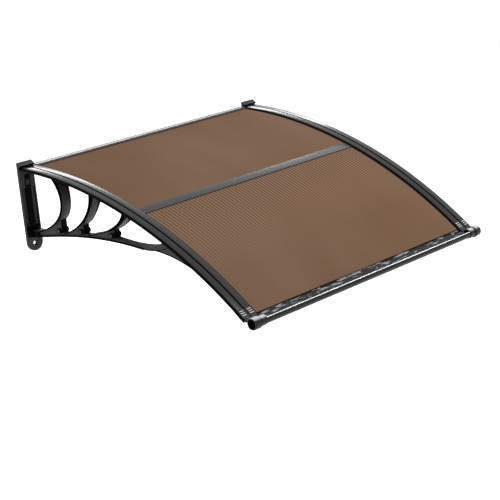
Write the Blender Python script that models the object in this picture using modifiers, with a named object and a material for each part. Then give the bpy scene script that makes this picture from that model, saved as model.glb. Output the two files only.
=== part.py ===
"""Door canopy: two fluted sheets on a shallow arch, between two moulded wall brackets.

Metres, +Z up. The wall is the plane y = 0 and the canopy reaches towards -Y. The origin lies on
the wall, in the middle of the width, level with the top of the arch where it meets the wall.
"""

from math import asin, cos, pi, sin

import bmesh
import bpy

# Overall sizes
OVERALL_WIDTH = 1.000
ARCH_RADIUS = 1.500
ARCH_START_ANGLE = 0.039
STRIP_DEPTH = 0.881
BAR_DEPTH = 0.463
FACETS_PER_HALF = 6

# Clearances
GAP = 0.0003
SIDE_PLAY = 0.0006

# Cover strip section: o runs outwards from the strip's centre, up is height over the arch
STRIP_WIDTH = 0.057
STRIP_LIP = 0.0020
STRIP_SKIN = 0.0020
STRIP_OUTER_DROP = 0.0068
STRIP_EDGE_ROUND = 0.0016
STRIP_CROWN = 0.0038
GROOVE_HALF_TOP = 0.0040
GROOVE_HALF_FLOOR = 0.0026
GROOVE_DEPTH = 0.0016
SCREW_WALL = 0.0016
SCREW_SLOT_ROOF = 0.0034

# Fluted sheets
SHEET_TOP_DROP = 0.0057
SHEET_THICKNESS = 0.0040
SHEET_SKIN = 0.0006
SHEET_RIB = 0.0008
SHEET_EDGE = 0.0030
FLUTE_PITCH = 0.0150
SHEET_REAR_DEPTH = 0.0125
SHEET_FRONT_INSET = 0.0100

# Wall bracket
BRACKET_INSET = 0.0310
RAIL_WIDTH = 0.034
RAIL_THICKNESS = 0.0045
STRAP_WIDTH = 0.033
STRAP_THICKNESS = 0.009
STRAP_FLARE_FALLOFF = 6
WEB_WIDTH = 0.022
PLATE_INSET = 0.0253
PLATE_WIDTH = 0.0555
PLATE_THICKNESS = 0.008
PLATE_BOTTOM = -0.2565
PLATE_HOLE_RADIUS = 0.0050
PLATE_HOLES_Z = (-0.0480, -0.2330)
PLATE_POCKET_DEPTH = 0.0025
PLATE_LIP = 0.0030
PLATE_RIB_HALF = 0.0050
PLATE_POCKET_Z = (-0.1840, -0.0640)
BOSS_RADIUS = 0.0085
BOSS_PROUD = 0.0010
BOSS_EYE_RADIUS = 0.0045
BOSS_EYE_DEPTH = 0.0040

# Side view curves of the bracket, as (depth, z): four control points each
ARM_UNDERSIDE = ((0.0030, -0.2130), (0.0573, -0.2157), (0.2495, -0.1640), (0.5000, -0.1920))
CURL_UNDERSIDE = ((0.5000, -0.1920), (0.5350, -0.1945), (0.5700, -0.1870), (0.6130, -0.1690))
CURL_TOP = ((0.5920, -0.1585), (0.5450, -0.1860), (0.4600, -0.1840), (0.3790, -0.1730))
GUSSET_EDGE = ((0.5300, -0.1890), (0.6146, -0.1950), (0.6500, -0.2070), (0.7550, -0.2530))
GUSSET_ROOT = (0.5300, -0.1840)
GUSSET_REAR_DEPTH = 0.5910
ARM_TOP_AT_WALL = -0.1940

# Each crescent: the curve of its hollow side, the foot of its other side on the arm, and how
# much thicker it is under the rail
CRESCENTS = (
    (((0.1300, -0.0228), (0.1830, -0.0780), (0.1805, -0.1540), (0.0400, -0.1935)), (0.147, -0.1855), 0.016),
    (((0.2925, -0.0525), (0.2935, -0.1080), (0.2395, -0.1610), (0.1620, -0.1845)), (0.247, -0.1780), 0.010),
    (((0.4260, -0.0925), (0.4200, -0.1280), (0.3600, -0.1590), (0.2700, -0.1760)), (0.379, -0.1730), 0.010),
)
BOSSES = ((0.138, -0.180), (0.237, -0.171), (0.370, -0.167))

# Middle bar, an H section that joins the two sheets
BAR_WIDTH = 0.030
BAR_PROUD = 0.0021
BAR_FLANGE = 0.0018
BAR_EDGE = 0.0006
BAR_WEB_HALF = 0.0012
BAR_LOWER_HALF = 0.011

# Rear rail and its seal against the wall
SEAL_THICKNESS = 0.0017
SEAL_HEIGHT = 0.0170
SEAL_TOP = 0.0030
REAR_RAIL_DEPTH = 0.0220
REAR_RAIL_SKIN = 0.0016
REAR_RAIL_TOP = 0.0

# Wall cap over the end of each strip
CAP_BODY_DEPTH = 0.0100
CAP_HOOD_DEPTH = 0.0155
CAP_HEIGHT = 0.0145
CAP_NOSE = 0.0040
CAP_STEPS = 3
CAP_STEP_DROP = 0.0010

# Front clip at the lower end of each strip
CLIP_LENGTH = 0.0360
CLIP_RIB_COUNT = 3
CLIP_RIB_WIDTH = 0.0020
CLIP_RIB_PITCH = 0.0070
CLIP_RIB_HEIGHT = 0.0007

# Front gutter and the outlets at its ends
GUTTER_REACH = 0.0205
GUTTER_DROP = 0.0085
GUTTER_RADIUS = 0.0127
GUTTER_WALL = 0.0016
GUTTER_RIM_ANGLE = 40 * pi / 180
GUTTER_REAR_ANGLE = -185 * pi / 180
GUTTER_RIM_RADIUS = 0.0018
GUTTER_RIM_TUCK = 0.1
GUTTER_OVERHANG = 0.0250
GUTTER_APRON_GRIP = 0.0160
OUTLET_LENGTH = 0.0470
OUTLET_WALL = 0.0016
OUTLET_BAND = 0.0230
OUTLET_BAND_PROUD = 0.0024
OUTLET_OVERLAP = 0.0200

# Screws that draw the strip, the sheet and the rail together from below
REAR_SCREW_DEPTHS = (0.065, 0.210, 0.360, 0.510)
FRONT_SCREW_INSET = 0.066
SCREW_HEAD_RADIUS = 0.0036
SCREW_HEAD_HEIGHT = 0.0022
SCREW_SHANK_RADIUS = 0.0017
SCREW_REACH = 0.0105
SCREW_CROSS_WIDTH = 0.0009
SCREW_CROSS_DEPTH = 0.0009
SCREW_CROSS_REACH = 0.0022
SCREW_CROWN_RADIUS = 0.0025

# Flat sides round each round shape
PLATE_HOLE_SIDES = 24
BOSS_SIDES = 16
EYE_SIDES = 10
RAIL_HOLE_SIDES = 10
OUTLET_SIDES = 24
SCREW_SIDES = 8

# Worked out from the sizes above
SCREW_SLOT_HALF = SCREW_SHANK_RADIUS + GAP
SCREW_WALL_HALF = SCREW_SLOT_HALF + SCREW_WALL
ARCH_CENTRE_Y = ARCH_RADIUS * sin(ARCH_START_ANGLE)
ARCH_CENTRE_Z = -ARCH_RADIUS * cos(ARCH_START_ANGLE)
STRIP_CENTRE = OVERALL_WIDTH / 2 - STRIP_WIDTH / 2
STRIP_INNER_DROP = SHEET_TOP_DROP - GAP
SHEET_BOTTOM_DROP = SHEET_TOP_DROP + SHEET_THICKNESS
RAIL_TOP_DROP = SHEET_BOTTOM_DROP + GAP
RAIL_BOTTOM_DROP = RAIL_TOP_DROP + RAIL_THICKNESS
BRACKET_CENTRE = OVERALL_WIDTH / 2 - BRACKET_INSET
PLATE_CENTRE = OVERALL_WIDTH / 2 - PLATE_INSET
BETWEEN_STRIPS = OVERALL_WIDTH - 2 * STRIP_WIDTH
SHEET_WIDTH = 2 * (STRIP_CENTRE - SCREW_WALL_HALF - SIDE_PLAY)
SEAM_GAP = BAR_WEB_HALF + SIDE_PLAY
SHEET_FRONT_DEPTH = STRIP_DEPTH - SHEET_FRONT_INSET
GUTTER_DEPTH = STRIP_DEPTH + GUTTER_REACH


def angle_at(depth):
    """Angle from upright of the arch's radius at this depth from the wall."""
    return asin(depth / ARCH_RADIUS + sin(ARCH_START_ANGLE))


BAR_ANGLE = angle_at(BAR_DEPTH)
END_ANGLE = angle_at(STRIP_DEPTH)
GUTTER_Z = ARCH_CENTRE_Z + ARCH_RADIUS * cos(END_ANGLE) - GUTTER_DROP


def spaced(low, high, count):
    """Evenly spaced values from low to high, both included."""
    return [low + (high - low) * i / count for i in range(count + 1)]


STATIONS = spaced(ARCH_START_ANGLE, BAR_ANGLE, FACETS_PER_HALF)
STATIONS += spaced(BAR_ANGLE, END_ANGLE, FACETS_PER_HALF)[1:]


def arch_point(x, up, angle):
    """World point at this height over the arch, on the flat facets between the stations."""
    index = sum(1 for station in STATIONS[1:-1] if angle > station)
    low, high = STATIONS[index], STATIONS[index + 1]
    facet = cos((high - low) / 2) / cos(angle - (low + high) / 2)
    radius = (ARCH_RADIUS + up) * facet
    return (x, ARCH_CENTRE_Y - radius * sin(angle), ARCH_CENTRE_Z + radius * cos(angle))


def side_point(up, angle):
    """The same point as (depth, z) in the side view."""
    _, y, z = arch_point(0.0, up, angle)
    return (-y, z)


def bezier(points, count):
    """Points along a cubic curve."""
    a, b, c, d = points
    curve = []
    for t in spaced(0.0, 1.0, count):
        s = 1 - t
        weights = (s * s * s, 3 * s * s * t, 3 * s * t * t, t * t * t)
        curve.append(tuple(sum(w * p[i] for w, p in zip(weights, (a, b, c, d))) for i in (0, 1)))
    return curve


def arc(centre, radius, start, end, count):
    """Points round a circle in the side view."""
    return [(centre[0] + radius * cos(a), centre[1] + radius * sin(a)) for a in spaced(start, end, count)]


def circle(centre, radius, sides):
    """Corners of a round outline."""
    return arc(centre, radius, 0.0, 2 * pi, sides)[:-1]


def offset(points, distances):
    """A line beside the given one, on its left-hand side, at these distances."""
    moved = []
    for i, (x, y) in enumerate(points):
        before = points[max(i - 1, 0)]
        after = points[min(i + 1, len(points) - 1)]
        along = ((after[0] - before[0]), (after[1] - before[1]))
        length = (along[0] ** 2 + along[1] ** 2) ** 0.5
        moved.append((x - along[1] / length * distances[i], y + along[0] / length * distances[i]))
    return moved


def material(name, colour, roughness, metallic=0.0, alpha=1.0):
    """A Principled material with one colour."""
    made = bpy.data.materials.new(name)
    made.use_nodes = True
    shader = made.node_tree.nodes["Principled BSDF"]
    shader.inputs["Base Color"].default_value = (*colour, 1.0)
    shader.inputs["Roughness"].default_value = roughness
    shader.inputs["Metallic"].default_value = metallic
    shader.inputs["Alpha"].default_value = alpha
    made.diffuse_color = (*colour, alpha)
    return made


def add_object(name, mesh, finish=None):
    """Puts a mesh in the scene as a part, or as a hidden cutter where it has no finish."""
    made = bpy.data.objects.new(name, mesh)
    if finish:
        if not mesh.materials:
            mesh.materials.append(finish)
        parts.objects.link(made)
    else:
        made.hide_render = True
        made.display_type = "WIRE"
        cutters.objects.link(made)
    return made


def filled_mesh(name, loops, low, high):
    """A flat outline, with its holes, drawn in local XY and pulled along local Z."""
    flat = bpy.data.curves.new(name, "CURVE")
    flat.dimensions = "2D"
    flat.fill_mode = "BOTH"
    flat.extrude = (high - low) / 2
    for loop in loops:
        line = flat.splines.new("POLY")
        line.points.add(len(loop) - 1)
        line.use_cyclic_u = True
        for point, (x, y) in zip(line.points, loop):
            point.co = (x, y, 0.0, 1.0)
    drawn = bpy.data.objects.new(name, flat)
    cutters.objects.link(drawn)
    bpy.context.view_layer.update()
    mesh = bpy.data.meshes.new_from_object(drawn.evaluated_get(bpy.context.evaluated_depsgraph_get()))
    bpy.data.objects.remove(drawn)
    shaped = bmesh.new()
    shaped.from_mesh(mesh)
    bmesh.ops.remove_doubles(shaped, verts=shaped.verts, dist=1e-6)
    bmesh.ops.translate(shaped, verts=shaped.verts, vec=(0.0, 0.0, (low + high) / 2))
    bmesh.ops.dissolve_limit(shaped, angle_limit=1e-4, verts=shaped.verts, edges=shaped.edges)
    ends = [face for face in shaped.faces if len(face.verts) > 4]
    bmesh.ops.triangulate(shaped, faces=ends, ngon_method="BEAUTY")
    return mesh, shaped


def finish_mesh(mesh, shaped):
    """Writes the edited shape back, with its faces pointing out."""
    bmesh.ops.recalc_face_normals(shaped, faces=shaped.faces)
    if shaped.calc_volume(signed=True) < 0:
        bmesh.ops.reverse_faces(shaped, faces=shaped.faces)
    shaped.to_mesh(mesh)
    shaped.free()
    return mesh


def arch_mesh(name, loops, start, end):
    """A section, as (x, up), pulled from one angle of the arch to another."""
    mesh, shaped = filled_mesh(name, loops, ARCH_RADIUS * start, ARCH_RADIUS * end)
    for station in STATIONS:
        if start + 1e-4 < station < end - 1e-4:
            everything = shaped.verts[:] + shaped.edges[:] + shaped.faces[:]
            place = (0.0, 0.0, ARCH_RADIUS * station)
            bmesh.ops.bisect_plane(shaped, geom=everything, plane_co=place, plane_no=(0, 0, 1), dist=1e-7)
    for vert in shaped.verts:
        vert.co = arch_point(vert.co.x, vert.co.y, vert.co.z / ARCH_RADIUS)
    return finish_mesh(mesh, shaped)


def side_mesh(name, loops, x, width):
    """An outline in the side view, as (depth, z), as wide as given in X."""
    mesh, shaped = filled_mesh(name, loops, -width / 2, width / 2)
    for vert in shaped.verts:
        vert.co = (x + vert.co.z, -vert.co.x, vert.co.y)
    return finish_mesh(mesh, shaped)


def front_mesh(name, loops, near, far):
    """An outline in the front view, as (x, z), between two depths from the wall."""
    mesh, shaped = filled_mesh(name, loops, near, far)
    for vert in shaped.verts:
        vert.co = (vert.co.x, -vert.co.z, vert.co.y)
    return finish_mesh(mesh, shaped)


def rectangle(low, high):
    return [(low[0], low[1]), (high[0], low[1]), (high[0], high[1]), (low[0], high[1])]


def box_mesh(name, low, high):
    """A plain box between two corners."""
    mesh = bpy.data.meshes.new(name)
    shaped = bmesh.new()
    bmesh.ops.create_cube(shaped, size=1.0)
    size = [b - a for a, b in zip(low, high)]
    bmesh.ops.scale(shaped, vec=size, verts=shaped.verts)
    bmesh.ops.translate(shaped, vec=[(a + b) / 2 for a, b in zip(low, high)], verts=shaped.verts)
    return finish_mesh(mesh, shaped)


def rod_mesh(name, radius, length, sides):
    """A cylinder along local Z, centred on its origin."""
    mesh = bpy.data.meshes.new(name)
    shaped = bmesh.new()
    bmesh.ops.create_cone(
        shaped, cap_ends=True, segments=sides, radius1=radius, radius2=radius, depth=length
    )
    return finish_mesh(mesh, shaped)


def turned_object(name, profile, sides, finish):
    """A profile, as (radius, z), turned round local Z: a ring where it starts off the axis."""
    mesh = bpy.data.meshes.new(name)
    edges = [(i, i + 1) for i in range(len(profile) - 1)]
    if profile[0][0] > 0:
        edges.append((len(profile) - 1, 0))
    mesh.from_pydata([(r, 0.0, z) for r, z in profile], edges, [])
    made = add_object(name, mesh, finish)
    turn = made.modifiers.new("turn", "SCREW")
    turn.steps = sides
    turn.render_steps = sides
    turn.use_merge_vertices = True
    turn.merge_threshold = 1e-6
    return made


def combine(target, others, operation):
    """Joins the others to the target, or cuts them out of it."""
    for other in others:
        step = target.modifiers.new(other.name, "BOOLEAN")
        step.operation = operation
        step.object = other
        step.solver = "EXACT"


def strip_x(side, outward):
    """World x of a point of the strip, counted outwards from the strip's centre."""
    return side * (STRIP_CENTRE + outward)


def strip_top():
    """Top of the strip from its outer edge to its inner edge, with the groove between two bands."""
    half = STRIP_WIDTH / 2
    outer = [(half, -STRIP_EDGE_ROUND), (half - STRIP_EDGE_ROUND, -STRIP_EDGE_ROUND / 4)]
    outer += [(half - STRIP_CROWN, 0.0), (GROOVE_HALF_TOP, 0.0), (GROOVE_HALF_FLOOR, -GROOVE_DEPTH)]
    return outer + [(-o, up) for o, up in reversed(outer)]


def screw_slot():
    """The two walls under the groove and the slot between them that the screws bite into."""
    foot = -SHEET_BOTTOM_DROP
    left = [(-SCREW_WALL_HALF, foot), (-SCREW_SLOT_HALF, foot), (-SCREW_SLOT_HALF, -SCREW_SLOT_ROOF)]
    return left + [(-outward, up) for outward, up in reversed(left)]


def side_section(side, section):
    """Turns (outward, up) into (x, up) for the left or the right strip."""
    return [(strip_x(side, outward), up) for outward, up in section]


def screw_places():
    """Angles of the screws along each rail: those of the strip, then the one in the clip."""
    front_angle = angle_at(STRIP_DEPTH - FRONT_SCREW_INSET)
    clip_angle = END_ANGLE - CLIP_LENGTH / 2 / ARCH_RADIUS
    return [angle_at(depth) for depth in REAR_SCREW_DEPTHS] + [front_angle, clip_angle]


def rail_holes(label, side):
    """Round cutters square to the arch, one for each screw through the rail."""
    made = []
    length = RAIL_THICKNESS + 2 * SCREW_HEAD_HEIGHT
    for number, angle in enumerate(screw_places(), start=1):
        hole = add_object(f"{label}_{number}", rod_mesh(label, SCREW_SLOT_HALF, length, RAIL_HOLE_SIDES))
        hole.location = arch_point(strip_x(side, 0.0), -(RAIL_TOP_DROP + RAIL_BOTTOM_DROP) / 2, angle)
        hole.rotation_euler = (angle, 0.0, 0.0)
        made.append(hole)
    return made


def make_cover_strip(name, side, finish):
    half = STRIP_WIDTH / 2
    inner = half - STRIP_LIP
    section = [(half, -STRIP_OUTER_DROP)] + strip_top()
    section += [(-half, -STRIP_INNER_DROP), (-inner, -STRIP_INNER_DROP), (-inner, -STRIP_SKIN)]
    section += [(-SCREW_WALL_HALF, -STRIP_SKIN)] + screw_slot() + [(SCREW_WALL_HALF, -STRIP_SKIN)]
    section += [(inner, -STRIP_SKIN), (inner, -STRIP_OUTER_DROP)]
    start = angle_at(CAP_BODY_DEPTH + SIDE_PLAY)
    end = END_ANGLE - (CLIP_LENGTH + GAP) / ARCH_RADIUS
    add_object(name, arch_mesh(name, [side_section(side, section)], start, end), finish)


def make_front_clip(name, side, finish):
    half = STRIP_WIDTH / 2
    section = [(half, -STRIP_OUTER_DROP)] + strip_top() + [(-half, -STRIP_INNER_DROP)]
    section += [(-SCREW_WALL_HALF, -STRIP_INNER_DROP)] + screw_slot()[:-1]
    section += [(half - STRIP_LIP, -SHEET_BOTTOM_DROP), (half - STRIP_LIP, -STRIP_OUTER_DROP)]
    start = END_ANGLE - CLIP_LENGTH / ARCH_RADIUS
    clip = add_object(name, arch_mesh(name, [side_section(side, section)], start, END_ANGLE), finish)
    ribs = []
    band_middle = (GROOVE_HALF_TOP + half - STRIP_CROWN) / 2
    band_half = (half - STRIP_CROWN - GROOVE_HALF_TOP) / 2 - CLIP_RIB_HEIGHT
    for number in range(CLIP_RIB_COUNT):
        middle = start + (number + 1) * CLIP_RIB_PITCH / ARCH_RADIUS
        for band, centre in enumerate((band_middle, -band_middle)):
            low, high = centre - band_half, centre + band_half
            section = rectangle((low, -GROOVE_DEPTH / 2), (high, CLIP_RIB_HEIGHT))
            spread = CLIP_RIB_WIDTH / 2 / ARCH_RADIUS
            label = f"{name}_rib_{number}_{band}"
            rib = arch_mesh(label, [side_section(side, section)], middle - spread, middle + spread)
            ribs.append(add_object(label, rib))
    combine(clip, ribs, "UNION")


def make_sheet(name, start, end, finish):
    """A twin-wall sheet whose flutes run along the arch and are open at both ends."""
    half = SHEET_WIDTH / 2
    loops = [rectangle((-half, -SHEET_BOTTOM_DROP), (half, -SHEET_TOP_DROP))]
    count = int((SHEET_WIDTH - 2 * SHEET_EDGE) / FLUTE_PITCH)
    low, high = -SHEET_BOTTOM_DROP + SHEET_SKIN, -SHEET_TOP_DROP - SHEET_SKIN
    for number in range(count):
        centre = (number - (count - 1) / 2) * FLUTE_PITCH
        flute = (FLUTE_PITCH - SHEET_RIB) / 2
        loops.append(rectangle((centre - flute, low), (centre + flute, high)))
    return add_object(name, arch_mesh(name, loops, start, end), finish)


def wall_plate_mesh(name, x):
    """Upright plate with a round lower end and two fixing holes."""
    half = PLATE_WIDTH / 2
    top = -RAIL_TOP_DROP - GAP
    outline = arc((x, PLATE_BOTTOM + half), half, pi, 2 * pi, 12) + [(x + half, top), (x - half, top)]
    holes = [circle((x, z), PLATE_HOLE_RADIUS, PLATE_HOLE_SIDES) for z in PLATE_HOLES_Z]
    return front_mesh(name, [outline] + holes, 0.0, PLATE_THICKNESS)


def rail_middle(depth):
    """Height of the middle of the rail's thickness at this depth from the wall."""
    drop = (RAIL_TOP_DROP + RAIL_BOTTOM_DROP) / 2
    return side_point(-drop, asin((depth + ARCH_CENTRE_Y) / (ARCH_RADIUS - drop)))[1]


def buried(points):
    """Keeps the upper ends of an opening inside the rail's thickness."""
    return [(depth, min(z, rail_middle(depth))) for depth, z in points]


def crescent_back(curve, foot, flare):
    """Outer side of a crescent, from its foot on the arm up to the rail, where it flares."""
    line = bezier(curve, 10)
    shares = spaced(1.0, 0.0, len(line) - 1)
    back = offset(line, [STRAP_THICKNESS + flare * share ** STRAP_FLARE_FALLOFF for share in shares])
    last = max(i for i, point in enumerate(back) if point[0] > foot[0])
    (depth, z), (next_depth, next_z) = back[last], back[last + 1]
    share = (foot[0] - depth) / (next_depth - depth)
    return [foot, (foot[0], z + share * (next_z - z))] + back[last::-1]


def arm_outlines():
    """Side view of the arm and the crescents: the outer edge, then the four openings."""
    top = [side_point(-RAIL_TOP_DROP - GAP, angle) for angle in STATIONS]
    top = [point for point in top if ARM_UNDERSIDE[0][0] < point[0] < CURL_UNDERSIDE[3][0]]
    outer = bezier(ARM_UNDERSIDE, 9) + bezier(CURL_UNDERSIDE, 4)[1:] + top[::-1]
    outer.append((ARM_UNDERSIDE[0][0], -RAIL_TOP_DROP - 2 * GAP))
    wall = PLATE_THICKNESS - 2 * GAP
    lines = [bezier(crescent[0], 10) for crescent in CRESCENTS] + [bezier(CURL_TOP, 8)[:-1]]
    backs = [[(wall, ARM_TOP_AT_WALL), (wall, 0.0)]] + [crescent_back(*one) for one in CRESCENTS]
    return [outer] + [buried(line + back) for line, back in zip(lines, backs)]


def gusset_outline():
    """Flat web between the arm's curl and the rail."""
    root = [(depth, 0.0) for depth in spaced(GUSSET_EDGE[3][0], GUSSET_REAR_DEPTH, 4)]
    return bezier(GUSSET_EDGE, 6)[:-1] + buried(root) + [GUSSET_ROOT]


def make_bracket(name, side, finish):
    """One moulding: curved rail, wall plate, arm, three crescents, their bosses and a gusset."""
    x = side * BRACKET_CENTRE
    half = RAIL_WIDTH / 2
    section = rectangle((x - half, -RAIL_BOTTOM_DROP), (x + half, -RAIL_TOP_DROP))
    start = angle_at(PLATE_THICKNESS / 2)
    bracket = add_object(name, arch_mesh(name, [section], start, END_ANGLE), finish)
    joined = [add_object(f"{name}_plate", wall_plate_mesh(name, side * PLATE_CENTRE))]
    joined.append(add_object(f"{name}_arm", side_mesh(name, arm_outlines(), x, STRAP_WIDTH)))
    joined.append(add_object(f"{name}_gusset", side_mesh(name, [gusset_outline()], x, WEB_WIDTH)))
    eyes = []
    for number, (depth, z) in enumerate(BOSSES, start=1):
        wide = STRAP_WIDTH + 2 * BOSS_PROUD
        disc = circle((depth, z), BOSS_RADIUS, BOSS_SIDES)
        joined.append(add_object(f"{name}_boss_{number}", side_mesh(name, [disc], x, wide)))
        eye = circle((depth, z), BOSS_EYE_RADIUS, EYE_SIDES)
        for face in (-1, 1):
            place = x + face * wide / 2
            eyes.append(add_object(f"{name}_eye_{number}", side_mesh(name, [eye], place, 2 * BOSS_EYE_DEPTH)))
    combine(bracket, joined, "UNION")
    pockets = []
    for face in (-1, 1):
        near, far = sorted((face * PLATE_RIB_HALF, face * (PLATE_WIDTH / 2 - PLATE_LIP)))
        plate_x = side * PLATE_CENTRE
        low = (plate_x + near, -PLATE_THICKNESS - PLATE_POCKET_DEPTH, PLATE_POCKET_Z[0])
        high = (plate_x + far, -PLATE_THICKNESS + PLATE_POCKET_DEPTH, PLATE_POCKET_Z[1])
        pockets.append(add_object(f"{name}_pocket", box_mesh(name, low, high)))
    combine(bracket, pockets + eyes + rail_holes(f"{name}_hole", side), "DIFFERENCE")


def make_middle_bar(name, finish):
    """H section across the canopy, whose flanges hold the edges of both sheets."""
    top = -SHEET_TOP_DROP + BAR_PROUD
    under = -SHEET_TOP_DROP + GAP
    over = -SHEET_BOTTOM_DROP - 2 * GAP
    half = BAR_WIDTH / 2
    section = [(-half, under), (-half, top - BAR_EDGE), (-half + BAR_EDGE, top)]
    section += [(half - BAR_EDGE, top), (half, top - BAR_EDGE), (half, under)]
    section += [(BAR_WEB_HALF, under), (BAR_WEB_HALF, over), (BAR_LOWER_HALF, over)]
    section += [(BAR_LOWER_HALF, over - BAR_FLANGE), (-BAR_LOWER_HALF, over - BAR_FLANGE)]
    section += [(-BAR_LOWER_HALF, over), (-BAR_WEB_HALF, over), (-BAR_WEB_HALF, under)]
    base = side_point(0.0, BAR_ANGLE)
    across, along = sin(BAR_ANGLE), cos(BAR_ANGLE)
    loop = [(base[0] + a * along + up * across, base[1] - a * across + up * along) for a, up in section]
    add_object(name, side_mesh(name, [loop], 0.0, BETWEEN_STRIPS - 2 * GAP), finish)


def rear_rail_outline():
    """Channel that holds the rear sheet's edge at the wall, as (depth, z)."""
    back, front = SEAL_THICKNESS + GAP, REAR_RAIL_DEPTH
    skin = REAR_RAIL_SKIN
    over = -SHEET_TOP_DROP + GAP
    under = side_point(-SHEET_BOTTOM_DROP, angle_at(front))[1] - 2 * GAP
    outline = [(back, under - skin), (front, under - skin), (front, under), (back + skin, under)]
    outline += [(back + skin, REAR_RAIL_TOP - skin), (front - skin, REAR_RAIL_TOP - skin)]
    outline += [(front - skin, over), (front, over), (front, REAR_RAIL_TOP - skin / 2)]
    return outline + [(front - skin / 2, REAR_RAIL_TOP), (back, REAR_RAIL_TOP)]


def wall_cap_outline():
    """Side view of the ridged cap: a body behind the strip's end and a hood over it."""
    bottom = -RAIL_TOP_DROP + GAP
    hood = 2 * SIDE_PLAY
    outline = [(0.0, bottom), (CAP_BODY_DEPTH, bottom), (CAP_BODY_DEPTH, hood)]
    outline += [(CAP_HOOD_DEPTH, hood), (CAP_HOOD_DEPTH, CAP_NOSE)]
    tread = CAP_HOOD_DEPTH / (CAP_STEPS + 1)
    rise = (CAP_HEIGHT - CAP_NOSE) / CAP_STEPS
    for number in range(CAP_STEPS):
        depth = CAP_HOOD_DEPTH - (number + 1) * tread
        height = CAP_NOSE + (number + 1) * rise
        outline += [(depth, height), (depth, height - CAP_STEP_DROP)]
    return outline + [(0.0, CAP_HEIGHT - CAP_STEP_DROP)]


def gutter_outline():
    """Open trough with a round bead along its front rim."""
    centre = (GUTTER_DEPTH, GUTTER_Z)
    inner = GUTTER_RADIUS - GUTTER_WALL
    bead = GUTTER_RIM_RADIUS
    bead_radius = GUTTER_RADIUS - bead
    bead_centre = arc(centre, bead_radius, GUTTER_RIM_ANGLE, GUTTER_RIM_ANGLE, 1)[0]
    outline = arc(centre, GUTTER_RADIUS, GUTTER_REAR_ANGLE, GUTTER_RIM_ANGLE, 18)
    outline += arc(bead_centre, bead, GUTTER_RIM_ANGLE + pi / 4, GUTTER_RIM_ANGLE + pi, 5)
    return outline + arc(centre, inner, GUTTER_RIM_ANGLE - GUTTER_RIM_TUCK, GUTTER_REAR_ANGLE, 16)


def apron_outline():
    """Flange under the sheet's front edge and the slope that leads into the trough."""
    end = angle_at(SHEET_FRONT_DEPTH)
    start = end - GUTTER_APRON_GRIP / ARCH_RADIUS
    over = -SHEET_BOTTOM_DROP - GAP
    below = over - GUTTER_WALL
    middle = GUTTER_RADIUS - GUTTER_WALL / 2
    rear = (GUTTER_DEPTH - middle, GUTTER_Z)
    outline = [side_point(over, start), side_point(over, end)]
    outline += [(rear[0] + GUTTER_WALL / 4, rear[1] + GUTTER_WALL)]
    outline += [(rear[0] - GUTTER_WALL / 4, rear[1] - GUTTER_WALL)]
    return outline + [side_point(below, end), side_point(below, start)]


def make_front_gutter(name, finish):
    length = BETWEEN_STRIPS + 2 * GUTTER_OVERHANG
    gutter = add_object(name, side_mesh(name, [gutter_outline()], 0.0, length), finish)
    between = BETWEEN_STRIPS - 2 * SIDE_PLAY
    apron = add_object(f"{name}_apron", side_mesh(name, [apron_outline()], 0.0, between))
    combine(gutter, [apron], "UNION")


def make_gutter_outlet(name, side, finish):
    """Round collar that slips over the trough's end and is open to the side."""
    bore = GUTTER_RADIUS + GAP
    outside = bore + OUTLET_WALL
    band = outside + OUTLET_BAND_PROUD
    step = OUTLET_LENGTH - OUTLET_BAND
    profile = [(bore, 0.0), (outside, 0.0), (outside, step), (band, step + OUTLET_BAND_PROUD)]
    profile += [(band, OUTLET_LENGTH), (bore, OUTLET_LENGTH)]
    collar = turned_object(name, profile[::-1], OUTLET_SIDES, finish)
    trough_end = BETWEEN_STRIPS / 2 + GUTTER_OVERHANG
    collar.location = (side * (trough_end - OUTLET_OVERLAP), -GUTTER_DEPTH, GUTTER_Z)
    collar.rotation_euler = (0.0, side * pi / 2, 0.0)


def make_screws(finish):
    """Pan head screws with a crossed slot, all alike."""
    profile = [(0.0, SCREW_REACH), (SCREW_SHANK_RADIUS, SCREW_REACH - SCREW_SHANK_RADIUS)]
    profile += [(SCREW_SHANK_RADIUS, 0.0), (SCREW_HEAD_RADIUS, 0.0)]
    profile += [(SCREW_HEAD_RADIUS, -SCREW_HEAD_HEIGHT / 2), (SCREW_CROWN_RADIUS, -SCREW_HEAD_HEIGHT)]
    profile += [(0.0, -SCREW_HEAD_HEIGHT)]
    drawn = turned_object("screw_drawing", profile, SCREW_SIDES, finish)
    slots = []
    half = SCREW_CROSS_WIDTH / 2
    for long_x, long_y in ((SCREW_CROSS_REACH, half), (half, SCREW_CROSS_REACH)):
        low = (-long_x, -long_y, -SCREW_HEAD_HEIGHT - SCREW_CROSS_DEPTH)
        high = (long_x, long_y, -SCREW_HEAD_HEIGHT + SCREW_CROSS_DEPTH)
        slots.append(add_object("screw_slot", box_mesh("screw_slot", low, high)))
    combine(drawn, slots, "DIFFERENCE")
    bpy.context.view_layer.update()
    depsgraph = bpy.context.evaluated_depsgraph_get()
    shape = bpy.data.meshes.new_from_object(drawn.evaluated_get(depsgraph))
    bpy.data.objects.remove(drawn)
    for label, side in SIDES.items():
        for number, angle in enumerate(screw_places(), start=1):
            screw = add_object(f"{label}_screw_{number}", shape, finish)
            screw.location = arch_point(strip_x(side, 0.0), -RAIL_BOTTOM_DROP - GAP, angle)
            screw.rotation_euler = (angle, 0.0, 0.0)


SIDES = {"left": -1, "right": 1}

for old in list(bpy.data.objects):
    bpy.data.objects.remove(old)
parts = bpy.data.collections.new("door_canopy")
cutters = bpy.data.collections.new("cutters")
bpy.context.scene.collection.children.link(parts)
bpy.context.scene.collection.children.link(cutters)

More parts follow.
